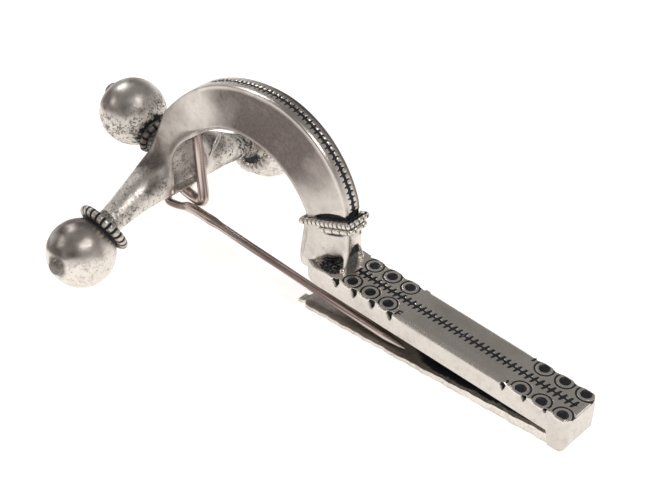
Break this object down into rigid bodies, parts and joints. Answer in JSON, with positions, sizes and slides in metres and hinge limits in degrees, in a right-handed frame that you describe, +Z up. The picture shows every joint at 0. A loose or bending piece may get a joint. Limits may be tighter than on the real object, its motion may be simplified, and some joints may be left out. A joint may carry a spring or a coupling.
{
  "type": "crossbow fibula brooch",
  "caption": "Cast crossbow fibula: arched bow, crossbar with onion knobs and beaded collars, flat foot with ring-and-dot marks over a side catch, sprung wire pin.",
  "frame": {"origin": "centre of the bounding box's base: the level surface that the two side knobs and the tip of the foot stand on", "axes": "X runs from the head to the tip of the foot, Y along the crossbar with the catch open towards -Y, Z up through the crown of the bow"},
  "size_m": [0.0858, 0.0482, 0.0301],
  "materials": {
    "antiqued_silver": "cast silver-coloured alloy, burnished high spots, black oxidised hollows",
    "pin_wire": "drawn wire, thin silver over a copper-toned metal"
  },
  "bodies": {
    "brooch": {"cast_body": "antiqued_silver"},
    "pin": {"pin_wire": "pin_wire"}
  },
  "joints": [
    {"name": "pin_swing", "type": "hinge", "parent": "brooch", "child": "pin", "pos_m": [-0.02795, -0.0004, 0.00662], "axis": [-0.0951, 0, -0.9955], "range_deg": [0, 12], "stiffness_Nm_per_rad": 0.02}
  ]
}
